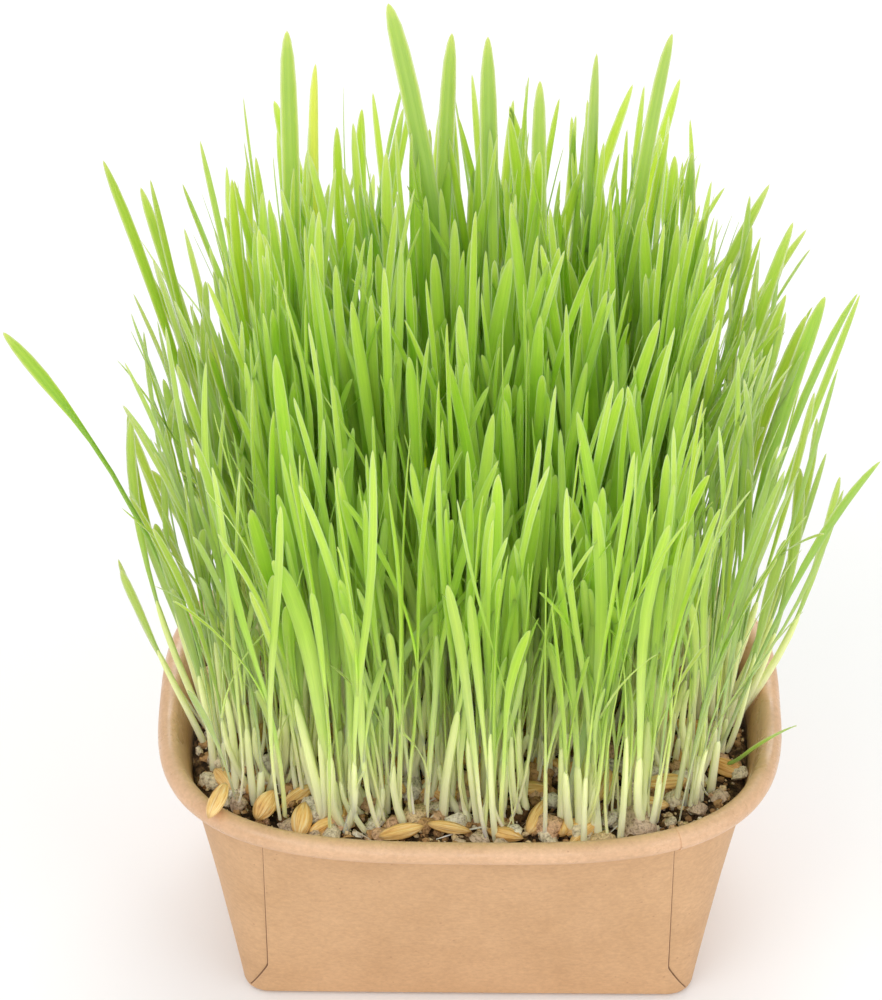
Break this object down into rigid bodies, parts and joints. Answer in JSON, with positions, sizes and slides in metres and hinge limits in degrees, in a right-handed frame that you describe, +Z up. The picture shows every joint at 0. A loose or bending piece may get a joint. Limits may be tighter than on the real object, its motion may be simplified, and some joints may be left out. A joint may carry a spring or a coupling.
{
  "type": "wheatgrass tray",
  "caption": "Folded kraft paper tray with a rolled rim, filled with gritty growing medium and a dense stand of young cereal grass",
  "frame": {"origin": "centre of the tray's flat underside", "axes": "+Z up along the grass, +X along the tray's long side, -Y towards the long side that the picture shows"},
  "size_m": [0.16, 0.1088, 0.1859],
  "materials": {
    "kraft_paper": "matte",
    "growing_medium": "matte",
    "grass": "satin",
    "hulled_grain": "satin"
  },
  "bodies": {
    "root": {"paper_tray": "kraft_paper", "growing_medium": "growing_medium", "grass_tuft_01": "grass", "grass_tuft_02": "grass", "grass_tuft_03": "grass", "grass_tuft_04": "grass", "grass_tuft_05": "grass", "grass_tuft_06": "grass", "grass_tuft_07": "grass", "grass_tuft_08": "grass", "grass_tuft_09": "grass", "grass_tuft_10": "grass", "grass_tuft_11": "grass", "grass_tuft_12": "grass", "grass_tuft_13": "grass", "grass_tuft_14": "grass", "grass_tuft_15": "grass", "grass_tuft_16": "grass", "grass_tuft_17": "grass", "grass_tuft_18": "grass", "grass_tuft_19": "grass", "grass_tuft_20": "grass", "grain_01": "hulled_grain", "grain_02": "hulled_grain", "grain_03": "hulled_grain", "grain_04": "hulled_grain", "grain_05": "hulled_grain", "grain_06": "hulled_grain", "grain_07": "hulled_grain", "grain_08": "hulled_grain", "grain_09": "hulled_grain", "grain_10": "hulled_grain", "grain_11": "hulled_grain", "grain_12": "hulled_grain", "grain_13": "hulled_grain", "grain_14": "hulled_grain", "grain_on_rim": "hulled_grain"}
  },
  "joints": []
}
